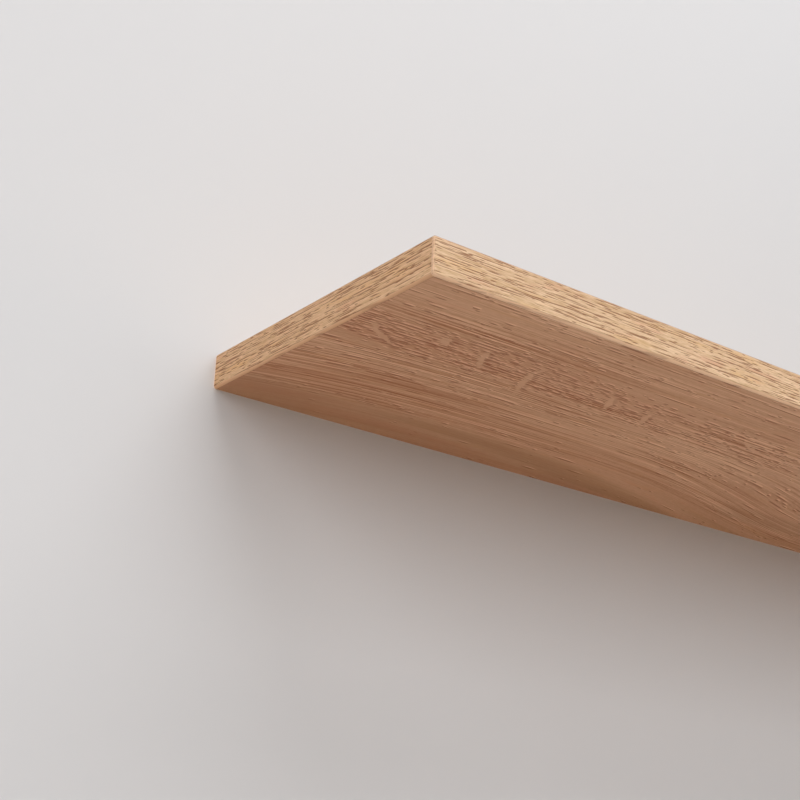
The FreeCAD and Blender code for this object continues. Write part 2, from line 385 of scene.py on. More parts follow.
# ---- Node groups of the oak decor ----------------------------------------------------------------
@once
def flow_group():
    """Bends straight grain into the slow waves and small wobbles of a sawn board."""
    wiring, entry, leave = new_group("Grain Flow", [
        ("Vector", "Vector", None),
        ("Wave Length", "Float", 0.4),
        ("Wave Height", "Float", 0.01),
        ("Wobble", "Float", 0.0006),
    ], [("Vector", "Vector", None)])
    waves_across, waves_deep = 5.0, 40.0
    x, y, z = wiring.parts(entry["Vector"])
    waves_along = wiring.over(1.0, entry["Wave Length"])
    wave_place = wiring.vector(wiring.times(x, waves_along), wiring.times(y, waves_across),
                               wiring.times(z, waves_deep))
    wave = wiring.centred(wiring.noise(wave_place, detail=0.0))
    wobble = wiring.centred(wiring.clouds(entry["Vector"], 28, 160, 40, 1.0))
    across = wiring.times_plus(wave, entry["Wave Height"], y)
    across = wiring.times_plus(wobble, entry["Wobble"], across)
    wiring.feed(leave["Vector"], wiring.vector(x, across, z))
    return wiring.tree


@once
def arch_group():
    """Bends straight grain into arches that rise from the wall, highest at the middle of each."""
    wiring, entry, leave = new_group("Grain Arches", [
        ("Vector", "Vector", None),
        ("Middle", "Float", 0.0),
        ("Repeat", "Float", 0.8),
        ("Height", "Float", 0.05),
    ], [("Vector", "Vector", None)])
    flatness_of_tops = 1.6
    straight_y, arched_y = -190 * MM, -60 * MM
    least_bending = 0.1
    x, y, z = wiring.parts(entry["Vector"])
    turns = wiring.over(wiring.minus(x, entry["Middle"]), entry["Repeat"])
    swing = wiring.math("COSINE", wiring.times(turns, 2 * math.pi))
    fall = wiring.math("POWER", wiring.times_plus(swing, -0.5, 0.5), flatness_of_tops)
    fall = wiring.times(fall, entry["Height"])
    bending = wiring.ramp(y, straight_y, arched_y, least_bending, 1.0)
    across = wiring.minus(y, wiring.times(fall, bending))
    wiring.feed(leave["Vector"], wiring.vector(x, across, z))
    return wiring.tree


@once
def pore_group():
    """Scatters short dashes along the grain, one to a cell, each with a painted highlight beside it: a pale
    rim where light would catch the pore's lip.
    """
    wiring, entry, leave = new_group("Wood Pores", [
        ("Vector", "Vector", None),
        ("Cell Length", "Float", 0.01),
        ("Cell Width", "Float", 0.001),
        ("Pore Length", "Float", 0.008),
        ("Pore Width", "Float", 0.0004),
        ("Amount", "Float", 0.5),
        ("Seed", "Float", 0.0),
    ], [("Pores", "Float", None), ("Rims", "Float", None)])
    face_shift = 400.0
    softness = 0.6
    roughening = 0.35
    half_lengths = (0.15, 0.5)          # the least and the most, as shares of the pore's length
    half_widths = (0.3, 0.65)           # the same, of the pore's width
    highlight_aside = 2.0                     # half widths from a pore's middle to its painted highlight's
    x, y, z = wiring.parts(entry["Vector"])
    shift = wiring.times_plus(z, face_shift, entry["Seed"])
    cell_x = wiring.plus(wiring.over(x, entry["Cell Length"]), shift)
    cell_y = wiring.plus(wiring.over(y, entry["Cell Width"]), shift)
    place = wiring.vector(cell_x, cell_y)
    cells = wiring.node("ShaderNodeTexVoronoi", {"Vector": place, "Scale": 1.0, "Randomness": 1.0},
                        voronoi_dimensions="2D")
    offset_x, offset_y, _ = wiring.parts(wiring.vector_math("SUBTRACT", place, cells.outputs["Position"]))
    random = wiring.channels(cells.outputs["Color"])
    half_length = wiring.times(wiring.over(entry["Pore Length"], entry["Cell Length"]),
                               wiring.ramp(random[0], 0.0, 1.0, *half_lengths))
    half_width = wiring.times(wiring.over(entry["Pore Width"], entry["Cell Width"]),
                              wiring.ramp(random[1], 0.0, 1.0, *half_widths))
    unevenness = wiring.times(wiring.centred(wiring.noise(place, 1.0)), roughening)
    along = wiring.math("POWER", wiring.absolute(wiring.over(offset_x, half_length)), 2.0)
    kept = wiring.math("LESS_THAN", random[2], entry["Amount"])

    def dash(sideways):
        """The dash itself, moved across the grain by this many of its half widths."""
        across = wiring.minus(wiring.over(offset_y, half_width), sideways)
        reach = wiring.math("SQRT", wiring.plus(along, wiring.times(across, across)))
        reach = wiring.plus(reach, unevenness)
        return wiring.times(wiring.ramp(reach, 1.0 + softness, 1.0 - softness), kept)

    wiring.feed(leave["Pores"], dash(0.0))
    wiring.feed(leave["Rims"], dash(-highlight_aside))
    return wiring.tree


@once
def streak_group():
    """Tone along the grain: broad soft streaks, and sparse pale and dark lines, both from -1 to 1."""
    wiring, entry, leave = new_group("Wood Streaks", [
        ("Vector", "Vector", None),
        ("Line Pitch", "Float", 0.004),
        ("Line Length", "Float", 0.1),
    ], [("Streaks", "Float", None), ("Lines", "Float", None)])
    face_shift = 60.0
    broad_strength, narrow_strength = 1.6, 1.2
    faintest, clearest = 0.03, 0.18     # noise where a line begins, and where it is full
    x, y, z = wiring.parts(entry["Vector"])
    face = wiring.times(z, face_shift)

    def layer(along, across, detail):
        """Noise about 0, with this many blobs to a metre along and across the grain."""
        place = wiring.vector(wiring.times(x, along), wiring.times(y, across), face)
        return wiring.centred(wiring.noise(place, detail))

    broad = wiring.times(layer(2.2, 30.0, 1.0), broad_strength)
    narrow = wiring.times(layer(6.0, 120.0, 2.0), narrow_strength)
    wiring.feed(leave["Streaks"], wiring.plus(broad, narrow))
    lines = layer(wiring.over(1.0, entry["Line Length"]), wiring.over(2.0, entry["Line Pitch"]), 1.5)
    pale = wiring.ramp(lines, faintest, clearest)
    dark = wiring.ramp(lines, -faintest, -clearest)
    wiring.feed(leave["Lines"], wiring.minus(pale, dark))
    return wiring.tree


# Rays of the figured stripe, in millimetres and degrees: middle X and Y, length, width, and angle
# from the grain.
RAYS = (
    (-372, -152, 38, 4.0, 33),
    (-335, -170, 12, 6.0, 50),
    (-300, -163, 28, 5.6, 62),
    (-256, -153, 48, 5.0, 72),
    (-186, -159, 24, 4.6, 63),
    (-147, -155, 20, 4.0, 66),
    (-42, -161, 36, 3.4, 17),
    (24, -155, 34, 4.8, 66),
    (96, -162, 26, 4.0, 48),
    (181, -152, 42, 5.2, 68),
    (262, -160, 22, 4.4, 58),
    (331, -154, 30, 4.2, 64),
)


@once
def ray_group():
    """Smooth ribbons that cross the grain at a steep angle, each with a shaded side."""
    wiring, entry, leave = new_group("Wood Rays", [
        ("Vector", "Vector", None),
    ], [("Rays", "Float", None), ("Shaded Sides", "Float", None)])
    reach_of_shake = 7 * MM
    bend = 6.0
    outside, inside = 1.7, 0.3          # from a ribbon's middle, where its half sizes are 1
    shade_aside = 1.5                   # half widths from a ribbon's middle to its shade's
    x, y, _ = wiring.parts(entry["Vector"])
    shake_x, shake_y, _ = wiring.parts(wiring.clouds(entry["Vector"], 110.0, 150.0, 90.0, output="Color"))
    place = wiring.vector(wiring.times_plus(wiring.centred(shake_x), reach_of_shake, x),
                          wiring.times_plus(wiring.centred(shake_y), reach_of_shake, y))
    rays = shaded = 0.0
    for middle_x, middle_y, ray_length, ray_width, angle in RAYS:
        turned = wiring.node("ShaderNodeVectorRotate", {
            "Vector": place,
            "Center": (middle_x * MM, middle_y * MM, 0),
            "Angle": -math.radians(angle),
        }, rotation_type="Z_AXIS").outputs[0]
        along, across, _ = wiring.parts(turned)
        along = wiring.minus(along, middle_x * MM)
        across = wiring.minus(across, middle_y * MM)
        across = wiring.times_plus(wiring.times(along, along), bend, across)
        along = wiring.absolute(wiring.over(along, ray_length * MM / 2))
        along = wiring.math("POWER", along, 2.0)
        across = wiring.over(across, ray_width * MM / 2)

        def ribbon(sideways):
            """The ribbon itself, moved aside by this many of its half widths."""
            aside = wiring.minus(across, sideways)
            reach = wiring.plus(along, wiring.times(aside, aside))
            return wiring.ramp(reach, outside, inside)

        rays = wiring.larger(rays, ribbon(0.0))
        shaded = wiring.larger(shaded, ribbon(-shade_aside))
    wiring.feed(leave["Rays"], rays)
    wiring.feed(leave["Shaded Sides"], wiring.minus(shaded, rays, clamp=True))
    return wiring.tree


# Layers of pores: length and width of a cell and of its pore in millimetres, the inputs that set
# how many there are and how long they are, and a seed.
PORE_LAYERS = (
    (16.0, 2.2, 20.0, 0.8, "Short Pores", "Pore Reach", 3.7),
    (36.0, 3.4, 44.0, 0.65, "Long Pores", "Pore Reach", 41.3),
    (8.0, 1.6, 9.0, 0.7, "Flecks", "Fleck Reach", 17.9),
)


@once
def oak_group():
    """Oak decor: tone, patches, lines and three sizes of pore, with a painted highlight beside each pore.
    Height is 0 to 1 of the emboss.
    """
    wiring, entry, leave = new_group("Oak Decor", [
        ("Vector", "Vector", None),
        ("Light Wood", "Color", None),
        ("Dark Wood", "Color", None),
        ("Golden Wood", "Color", None),
        ("Pink Wood", "Color", None),
        ("Pore", "Color", None),
        ("Streak Contrast", "Float", 0.5),
        ("Line Contrast", "Float", 0.3),
        ("Line Pitch", "Float", 0.004),
        ("Line Length", "Float", 0.1),
        ("Patchiness", "Float", 0.5),
        ("Fibre Contrast", "Float", 0.1),
        ("Short Pores", "Float", 0.5),
        ("Long Pores", "Float", 0.3),
        ("Flecks", "Float", 0.3),
        ("Fleck Reach", "Float", 1.0),
        ("Pore Spread", "Float", 1.0),
        ("Pore Reach", "Float", 1.0),
        ("Pore Strength", "Float", 0.8),
        ("Rim Strength", "Float", 0.3),
    ], [("Color", "Color", None), ("Height", "Float", None), ("Roughness", "Float", None)])
    vector = entry["Vector"]
    streaks = wiring.group(streak_group(), {
        "Vector": vector, "Line Pitch": entry["Line Pitch"], "Line Length": entry["Line Length"]})
    tone = wiring.times_plus(streaks["Streaks"], entry["Streak Contrast"], 0.5)
    tone = wiring.times_plus(streaks["Lines"], entry["Line Contrast"], tone)
    fibre_length, fibre_width, face_shift = 4 * MM, 0.7 * MM, 90.0
    x, y, z = wiring.parts(vector)
    fibre_place = wiring.vector(wiring.over(x, wiring.times(fibre_length, entry["Pore Reach"])),
                                wiring.over(y, wiring.times(fibre_width, entry["Pore Spread"])),
                                wiring.times(z, face_shift))
    fibres = wiring.centred(wiring.noise(fibre_place))
    tone = wiring.times_plus(fibres, entry["Fibre Contrast"], tone, clamp=True)
    golden = wiring.ramp(wiring.clouds(vector, 22.0, 130.0, 90.0), 0.52, 0.78)
    pink = wiring.ramp(wiring.clouds(vector, 34.0, 170.0, -120.0), 0.54, 0.78)

    depth = highlight_rims = 0.0
    for cell_length, cell_width, pore_length, pore_width, amount, reach, seed in PORE_LAYERS:
        layer = wiring.group(pore_group(), {
            "Vector": vector,
            "Cell Length": wiring.times(cell_length * MM, entry[reach]),
            "Cell Width": wiring.times(cell_width * MM, entry["Pore Spread"]),
            "Pore Length": wiring.times(pore_length * MM, entry[reach]),
            "Pore Width": wiring.times(pore_width * MM, entry["Pore Spread"]),
            "Amount": entry[amount],
            "Seed": seed,
        })
        depth = wiring.larger(depth, layer["Pores"])
        highlight_rims = wiring.larger(highlight_rims, layer["Rims"])
    wood = wiring.blend(tone, entry["Dark Wood"], entry["Light Wood"])
    wiring.feed(leave["Color"], wiring.overlay(
        wood,
        (wiring.times(golden, entry["Patchiness"]), entry["Golden Wood"]),
        (wiring.times(pink, entry["Patchiness"]), entry["Pink Wood"]),
        # painted highlight: a pale rim beside each pore, where light would catch its lip
        (wiring.times(highlight_rims, entry["Rim Strength"]), entry["Light Wood"]),
        (wiring.times(depth, entry["Pore Strength"]), entry["Pore"]),
    ))

    face_level, pore_drop, line_rise, rim_rise = 0.7, 0.55, 0.12, 0.15
    height = wiring.minus(face_level, wiring.times(depth, pore_drop))
    height = wiring.times_plus(streaks["Lines"], line_rise, height)
    wiring.feed(leave["Height"], wiring.times_plus(highlight_rims, rim_rise, height))
    wood_roughness, roughness_of_pores, roughness_of_tone = 0.58, 0.15, -0.06
    roughness = wiring.times_plus(depth, roughness_of_pores, wood_roughness)
    wiring.feed(leave["Roughness"], wiring.times_plus(tone, roughness_of_tone, roughness))
    return wiring.tree


def decor_tones(tones):
    """The oak decor's five colours, from a group of settings."""
    names = ("Light Wood", "Dark Wood", "Golden Wood", "Pink Wood", "Pore")
    return {name: getattr(tones, name.lower().replace(" ", "_")) for name in names}


# ---- Materials -----------------------------------------------------------------------------------
MATT_LACQUER = {"Specular IOR Level": 0.35}
METAL = {"Metallic": 1.0}


def new_material(name, constants=None):
    """A material with its shader placed. Constants are written on the shader's own sockets."""
    material = bpy.data.materials.new(name)
    wiring = empty_wiring(material)
    shader = wiring.node("ShaderNodeBsdfPrincipled", constants)
    wiring.node("ShaderNodeOutputMaterial", {"Surface": shader.outputs[0]})
    return material, wiring, shader


def feed_shader(wiring, shader, base, roughness, height, relief):
    """Feeds the shader. The height, from 0 to 1, becomes relief of this depth."""
    bump = wiring.node("ShaderNodeBump", {"Height": height, "Distance": relief})
    for name, value in (("Base Color", base), ("Roughness", roughness), ("Normal", bump.outputs[0])):
        wiring.feed(shader.inputs[name], value)


def object_place(wiring):
    """Where a point lies in the frame."""
    return wiring.node("ShaderNodeTexCoord").outputs["Object"]


def bare_plastic(wiring, settings, height, lower_rim_painted_light, *stains):
    """The band's plastic where its print is milled away, with painted light along the lower rim and painted
    shade along the upper rim.
    """
    rim_reach = 1.5 * MM
    full_reach = 0.3 * rim_reach
    # painted light along the lower rim, where the rounding faces down
    below = wiring.ramp(height, rim_reach - top_z, full_reach - top_z)
    # painted shade along the upper rim, where the rounding faces up
    above = wiring.ramp(height, top_z - rim_reach, top_z - full_reach)
    return wiring.overlay(settings.corner, (below, lower_rim_painted_light), (above, settings.upper_rim_painted_shade), *stains)


def band_material(name, settings, axes, depth_below_face, lower_rim_painted_light, pores, tint=(1.0, 1.0, 1.0)):
    """An edge band: print on its face, plain plastic where milling has rounded its edges, painted light on
    the lower rim and painted shade on the upper rim.

    The axes are those along the band and through it.
    """
    material, wiring, shader = new_material(name, MATT_LACQUER)
    place = wiring.parts(object_place(wiring))
    along_axis, through_axis = axes
    grain = wiring.vector(place[along_axis], place["Z"], place[through_axis])
    flow = wiring.group(flow_group(), {
        "Vector": grain,
        "Wave Length": 0.12,
        "Wave Height": 0.004,
        "Wobble": 0.0008,
    })
    decor = wiring.group(oak_group(), {
        "Vector": flow["Vector"],
        **decor_tones(settings),
        "Streak Contrast": 0.45,
        "Line Contrast": 0.26,
        "Line Pitch": 3.0 * MM,
        "Line Length": 50 * MM,
        "Patchiness": 0.6,
        "Fibre Contrast": 1.5,
        "Fleck Reach": 1.0,
        "Pore Reach": 1.35,
        "Pore Strength": 0.82,
        "Rim Strength": 0.6,
        **pores,
    })
    thinnest, thickest = 0.5, 1.8       # of the print, as shares of its set thickness
    most_yellowing, pore_marks = 0.14, 0.3
    unevenness = wiring.clouds(grain, 60.0, 300.0, 60.0)
    thickness = wiring.ramp(unevenness, 0.2, 0.8, thinnest, thickest)
    thickness = wiring.times(settings.print_thickness, thickness)
    layers = wiring.over(depth_below_face(wiring, place), thickness)
    milled = wiring.ramp(layers, 0.7, 1.3)
    cut_print = wiring.times(wiring.ramp(layers, 0.1, 0.5), wiring.ramp(unevenness, 0.3, 0.6, 0.08, 0.4))
    printed = wiring.blend(cut_print, decor["Color"], settings.pore)
    cloud = wiring.clouds(grain, 120.0, 500.0, 300.0)
    yellowing = (wiring.ramp(cloud, 0.3, 0.7, 0.0, most_yellowing), settings.golden_wood)
    marks = (wiring.times(wiring.ramp(decor["Height"], 0.6, 0.2), pore_marks), settings.pore)
    plastic = bare_plastic(wiring, settings, place["Z"], lower_rim_painted_light, yellowing, marks)
    # The tint is painted shade on the end bands, and white on the front band.
    base = wiring.blend(1.0, wiring.blend(milled, printed, plastic), tint, "MULTIPLY")
    milled_roughness = wiring.times_plus(cloud, 0.1, 0.45)
    milled_level = 0.75
    roughness = wiring.between(milled, decor["Roughness"], milled_roughness)
    height = wiring.between(milled, decor["Height"], milled_level)
    feed_shader(wiring, shader, base, roughness, height, settings.emboss)
    return material


class LaminateFace:
    """The decor of one face of the board. Masks and shares run from 0 to about 1 over the face."""

    def __init__(self, wiring, settings, tones):
        self.wiring = wiring
        self.settings = settings
        self.tones = tones
        self.grain = object_place(wiring)
        self.place = wiring.parts(self.grain)
        arches = wiring.group(arch_group(), {
            "Vector": self.grain,
            "Middle": -settings.arch_x,
            "Repeat": settings.arch_repeat,
            "Height": settings.arch_height,
        })
        self.vector = wiring.group(flow_group(), {
            "Vector": arches["Vector"],
            "Wave Length": 0.45,
            "Wave Height": 0.01,
            "Wobble": 0.0008,
        })["Vector"]
        self.ring = wiring.parts(self.vector)["Y"]
        self.rays = wiring.group(ray_group(), {"Vector": self.grain})
        self.off_rays = wiring.minus(1.0, self.rays["Rays"])
        outside, inside = 8 * MM, 14 * MM       # from the smooth stripe's edge, where it begins and is full
        smooth_y = -settings.smooth_width
        self.smooth = wiring.ramp(self.ring, smooth_y - outside, smooth_y + inside)
        self.growth = self.stripe(self.ring, settings.dark_y, settings.dark_width)
        self.figured = self.figured_mask()
        self.lined = self.lined_mask()

    def from_to(self, axis, start, end, low=0.0, high=1.0):
        """Goes from low at one place on an axis to high at another, both in millimetres."""
        return self.wiring.ramp(self.place[axis], start * MM, end * MM, low, high)

    def stripe(self, across, distance, width):
        """A soft stripe along the grain, at this distance from the wall."""
        aside = self.wiring.absolute(self.wiring.plus(across, distance))
        return self.wiring.ramp(aside, 0.7 * width, 0.3 * width)

    def figured_mask(self):
        """The figured stripe between its rays. Its edges wander, and it fades to the right."""
        wiring, settings = self.wiring, self.settings
        reach = 24 * MM
        outside, inside = 6 * MM, 8 * MM        # from the stripe's edge, where it begins and is full
        wandering = wiring.times(wiring.centred(wiring.clouds(self.grain, 9.0, 30.0, 20.0, 1.0)), reach)
        from_middle = wiring.absolute(wiring.plus(self.place["Y"], settings.figure_y))
        from_middle = wiring.plus(from_middle, wandering)
        half_width = settings.figure_width / 2
        mask = wiring.ramp(from_middle, half_width + outside, half_width - inside)
        mask = wiring.times(mask, self.off_rays)
        return wiring.times(mask, self.from_to("X", -60, -300, 0.5, 1.1))

    def lined_mask(self):
        """Patches with lines and pores. They are rarer at the front right, and the smooth stripe has none."""
        wiring = self.wiring
        more_all_over, fewer_where_calm = 0.08, -0.25
        calm = wiring.times(self.from_to("X", -300, -150), self.from_to("Y", -150, -200))
        patches = wiring.plus(wiring.clouds(self.vector, 3.0, 28.0, 20.0, 1.0), more_all_over)
        patches = wiring.times_plus(calm, fewer_where_calm, patches)
        mask = wiring.times(wiring.ramp(patches, 0.4, 0.62), wiring.minus(1.0, self.smooth))
        return wiring.times(mask, self.off_rays)

    def decor(self, pores):
        """The oak decor, with its lines and pores where the masks want them."""
        wiring, figured, growth = self.wiring, self.figured, self.growth
        crisp = self.from_to("X", -80, 140, 1.0, 0.55)
        dashed = wiring.times(self.lined, wiring.times_plus(growth, -0.6, 1.0))
        dashed = wiring.times(dashed, crisp)
        line_contrast = wiring.times_plus(growth, 0.25, wiring.times_plus(figured, 0.12, 0.06))
        line_contrast = wiring.times_plus(self.lined, 0.36, line_contrast)
        return wiring.group(oak_group(), {
            "Vector": self.vector,
            **decor_tones(self.tones),
            "Streak Contrast": 0.24,
            "Line Contrast": wiring.times(line_contrast, crisp),
            "Line Pitch": 2.7 * MM,
            "Line Length": 130 * MM,
            "Patchiness": 0.25,
            "Fibre Contrast": wiring.times_plus(self.lined, 0.2, 0.3),
            "Short Pores": wiring.times_plus(dashed, 0.15, wiring.times_plus(figured, 0.3, 0.03)),
            "Long Pores": wiring.times(dashed, 0.15),
            "Flecks": wiring.times_plus(dashed, 0.15, wiring.times_plus(figured, 0.9, 0.03)),
            **pores,
        })

    def stripe_shares(self):
        """Shares of the broad red and the broad brown stripes near the wall."""
        wiring = self.wiring
        strongest, red_of_figure = 0.28, 0.15
        stripes = wiring.clouds(self.vector, 2.4, 62.0, 20.0, 1.0)
        red = wiring.times(self.smooth, wiring.ramp(stripes, 0.48, 0.6, 0.0, strongest))
        red = wiring.times_plus(self.figured, red_of_figure, red)
        brown = wiring.times(self.smooth, wiring.ramp(stripes, 0.46, 0.34, 0.0, strongest))
        return red, brown

    def heart_shares(self):
        """Shares of the heart inside the innermost arch, and of the second heart at the right. The first
        heart grows stronger at the left end, as painted shade near the wall there.
        """
        wiring, settings = self.wiring, self.settings
        lean = -0.1
        leaning = wiring.times_plus(wiring.plus(self.place["X"], settings.arch_x), lean, self.ring)
        first = wiring.ramp(leaning, -56 * MM, -30 * MM, 0.0, 0.21)
        # painted shade: the heart is 1.6 times as strong at the left end, darkening the face near the wall
        # there
        first = wiring.times(first, self.from_to("X", -390, -300, 1.6, 1.0))
        second = self.stripe(self.place["Y"], settings.second_y, settings.second_width)
        return first, wiring.times(second, self.from_to("X", 30, 80, 0.0, 0.22))

    def growth_shares(self):
        """Shares of the dark and of the pale bands of growth. The pale share also holds painted light, paler
        over the last 50 mm towards the front edge.
        """
        wiring, settings = self.wiring, self.settings
        dark = wiring.times(self.growth, self.from_to("X", -80, -380, 0.03, 0.32))
        pale = self.stripe(self.place["Y"], settings.pale_y, settings.pale_width)
        pale = wiring.times(pale, self.from_to("X", -220, -130, 0.0, 0.13))
        # painted light: paler over the last 50 mm towards the front edge, away from the wall's shade
        return dark, wiring.larger(pale, self.from_to("Y", -185, -235, 0.0, 0.08))

    def edge_shares(self):
        """Shares of the glue along the bands, and of the resin paper below the print."""
        wiring, place, glue_width = self.wiring, self.place, self.settings.glue_width
        from_front = wiring.minus(place["Y"], laminate_front_y)
        from_end = wiring.minus(laminate_end_x, wiring.absolute(place["X"]))
        from_joint = wiring.math("MINIMUM", from_front, from_end)
        depth = wiring.minus(top_z, wiring.absolute(place["Z"]))
        return (wiring.ramp(from_joint, glue_width, 0.5 * glue_width, 0.0, 0.6),
                wiring.ramp(depth, 0.02 * MM, 0.06 * MM))


def laminate_material(name, settings, tones, red_stripe, brown_stripe, pores, emboss):
    """A face of the board: arched streaks, a figured stripe with rays, and resin paper at the cut edges."""
    material, wiring, shader = new_material(name, MATT_LACQUER)
    face = LaminateFace(wiring, settings, tones)
    decor = face.decor(pores)
    red, brown = face.stripe_shares()
    first_heart_and_painted_shade, second_heart = face.heart_shares()
    dark, pale = face.growth_shares()
    glued, below_print = face.edge_shares()
    shade_of_rays, light_of_rays = 0.16, 0.22
    base = wiring.overlay(
        decor["Color"],
        (red, red_stripe),
        (brown, brown_stripe),
        # the first heart: a grain figure, with painted shade at the left end
        (first_heart_and_painted_shade, settings.heart),
        (dark, tones.dark_wood),
        (second_heart, settings.heart),
        # pale bands of growth, and painted light towards the front edge
        (pale, tones.light_wood),
        (wiring.times(face.rays["Shaded Sides"], shade_of_rays), tones.pore),
        (wiring.times(face.rays["Rays"], light_of_rays), tones.light_wood),
        (glued, settings.glue),
        (below_print, settings.body),
    )
    feed_shader(wiring, shader, base, decor["Roughness"], decor["Height"], emboss)
    return material


def chipboard_material(name, settings):
    """Raw chipboard: flat chips lying in the board's plane, coarse in the middle and fine outside."""
    material, wiring, shader = new_material(name)
    place = object_place(wiring)
    _, _, z = wiring.parts(place)

    def chips(chip_length, chip_thickness):
        """Each chip's own random numbers and how far a point is from its edge. Sizes in millimetres."""
        flat = 1 / (chip_length * MM)
        vector = wiring.stretched(place, flat, flat, 1 / (chip_thickness * MM))
        shake = wiring.clouds(vector, 0.35, 0.35, 0.2, output="Color")
        inputs = {"Vector": wiring.vector_math("ADD", vector, shake), "Scale": 1.0, "Randomness": 1.0}
        cells = wiring.node("ShaderNodeTexVoronoi", inputs)
        edges = wiring.node("ShaderNodeTexVoronoi", inputs, feature="DISTANCE_TO_EDGE")
        return wiring.channels(cells.outputs["Color"]), edges.outputs["Distance"]

    coarse, coarse_edge = chips(6.5, 1.1)
    fine, fine_edge = chips(1.8, 0.45)
    outside = wiring.ramp(wiring.absolute(z), 7.5 * MM, 9.5 * MM)
    tone = wiring.between(outside, coarse[0], fine[0])
    edge = wiring.between(outside, coarse_edge, fine_edge)
    level = wiring.between(outside, coarse[1], fine[1])
    fibres = wiring.clouds(place, 300.0, 300.0, 3000.0, 3.0)
    base = wiring.overlay(
        wiring.blend(tone, settings.deep_chip, settings.pale_chip),
        (wiring.ramp(fibres, 0.35, 0.75, 0.0, 0.45), settings.fibre),
        (wiring.ramp(edge, 0.12, 0.0, 0.0, 0.7), settings.gap),
    )
    roughness = wiring.times_plus(fibres, 0.2, 0.75)
    height = wiring.times_plus(fibres, 0.3, wiring.times(level, wiring.ramp(edge, 0.0, 0.15)))
    feed_shader(wiring, shader, base, roughness, height, relief=0.35 * MM)
    return material


@once
def metal_group():
    """Plated steel: fine drawn lines along one axis, and clouds in the plating."""
    wiring, entry, leave = new_group("Plated Steel", [
        ("Vector", "Vector", None),
        ("Bright", "Color", None),
        ("Dull", "Color", None),
        ("Stain", "Color", None),
        ("Staining", "Float", 0.3),
    ], [("Color", "Color", None), ("Roughness", "Float", None), ("Height", "Float", None)])
    vector = entry["Vector"]
    lines = wiring.clouds(vector, 30.0, 5200.0, 5200.0)
    clouds = wiring.clouds(vector, 90.0, 260.0, 260.0, 3.0)
    stains = wiring.ramp(wiring.clouds(vector, 60.0, 150.0, -150.0), 0.4, 0.7)
    metal = wiring.blend(wiring.ramp(clouds, 0.3, 0.7), entry["Dull"], entry["Bright"])
    metal = wiring.blend(wiring.times(stains, entry["Staining"]), metal, entry["Stain"])
    wiring.feed(leave["Color"], metal)
    roughness = wiring.times_plus(clouds, 0.16, 0.26)
    wiring.feed(leave["Roughness"], wiring.times_plus(lines, 0.1, roughness))
    wiring.feed(leave["Height"], lines)
    return wiring.tree


def metal_material(name, along_axis, settings, plating):
    """Plated steel with its drawn lines along X or Y."""
    material, wiring, shader = new_material(name, METAL)
    vector = object_place(wiring)
    if along_axis == "Y":
        x, y, z = wiring.parts(vector)
        vector = wiring.vector(y, x, z)
    metal = wiring.group(metal_group(), {
        "Vector": vector,
        "Bright": getattr(settings, plating + "_bright"),
        "Dull": getattr(settings, plating + "_dull"),
        "Stain": getattr(settings, plating + "_stain"),
        "Staining": getattr(settings, plating + "_staining"),
    })
    feed_shader(wiring, shader, metal["Color"], metal["Roughness"], metal["Height"], relief=0.01 * MM)
    return material


def nylon_material(name, pale, deep):
    """Moulded nylon: a faint flow of tone and the fine grain of a sparked mould."""
    material, wiring, shader = new_material(name)
    place = object_place(wiring)
    flow = wiring.clouds(place, 350.0, 90.0, 350.0, distortion=0.6)
    sparks = wiring.clouds(place, 5000.0, 5000.0, 5000.0)
    base = wiring.blend(wiring.ramp(flow, 0.3, 0.7), deep, pale)
    roughness = wiring.times_plus(sparks, 0.18, 0.4)
    feed_shader(wiring, shader, base, roughness, sparks, relief=0.02 * MM)
    return material


def dress(material, *node_names):
    """Gives CAD nodes this material."""
    for name in node_names:
        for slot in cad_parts[name].material_slots:
            slot.material = material


# ---- Modelling by operators ----------------------------------------------------------------------
UPRIGHT = (math.radians(90), 0, 0)      # turns what lies flat so that it faces -Y


def deselect_all():
    """Leaves nothing selected, and edit mode closed."""
    if bpy.context.mode != "OBJECT":
        bpy.ops.object.mode_set(mode="OBJECT")
    bpy.ops.object.select_all(action="DESELECT")


def choose_only(piece):
    """Makes one piece the selected and active one."""
    deselect_all()
    piece.select_set(True)
    bpy.context.view_layer.objects.active = piece


class Editing:
    """Edit mode on one piece, for as long as the block lasts."""

    def __init__(self, piece):
        self.piece = piece

    def __enter__(self):
        choose_only(self.piece)
        bpy.ops.object.mode_set(mode="EDIT")
        bpy.ops.mesh.select_mode(type="VERT")
        return self

    def __exit__(self, *_):
        bpy.ops.object.mode_set(mode="OBJECT")

    def pick(self, test):
        """Selects the vertices whose place passes a test, with the edges and faces between them."""
        cage = bmesh.from_edit_mesh(self.piece.data)
        for vertex in cage.verts:
            vertex.select_set(test(vertex.co))
        cage.select_flush(True)
        bmesh.update_edit_mesh(self.piece.data)

    def pick_all(self):
        """Selects the whole mesh."""
        bpy.ops.mesh.select_all(action="SELECT")

    def face_outwards(self):
        """Turns all faces outwards, and leaves them selected."""
        self.pick_all()
        bpy.ops.mesh.normals_make_consistent(inside=False)


def settle(piece):
    """Puts the piece's place into its mesh, so that its object sits at the origin."""
    choose_only(piece)
    bpy.ops.object.transform_apply(location=True, rotation=True, scale=True)


def use_modifier(piece, kind, **settings):
    """Adds a modifier with these settings and applies it."""
    choose_only(piece)
    modifier = piece.modifiers.new(kind.title(), kind)
    for name, value in settings.items():
        setattr(modifier, name, value)
    bpy.ops.object.modifier_apply(modifier=modifier.name)


def disc(name, radius, sides, place):
    """A filled circle that faces -Y, the start of everything that is turned."""
    deselect_all()
    bpy.ops.mesh.primitive_circle_add(vertices=sides, radius=radius, fill_type="NGON", location=place,
                                      rotation=UPRIGHT)
    piece = bpy.context.object
    piece.name = name
    settle(piece)
    return piece


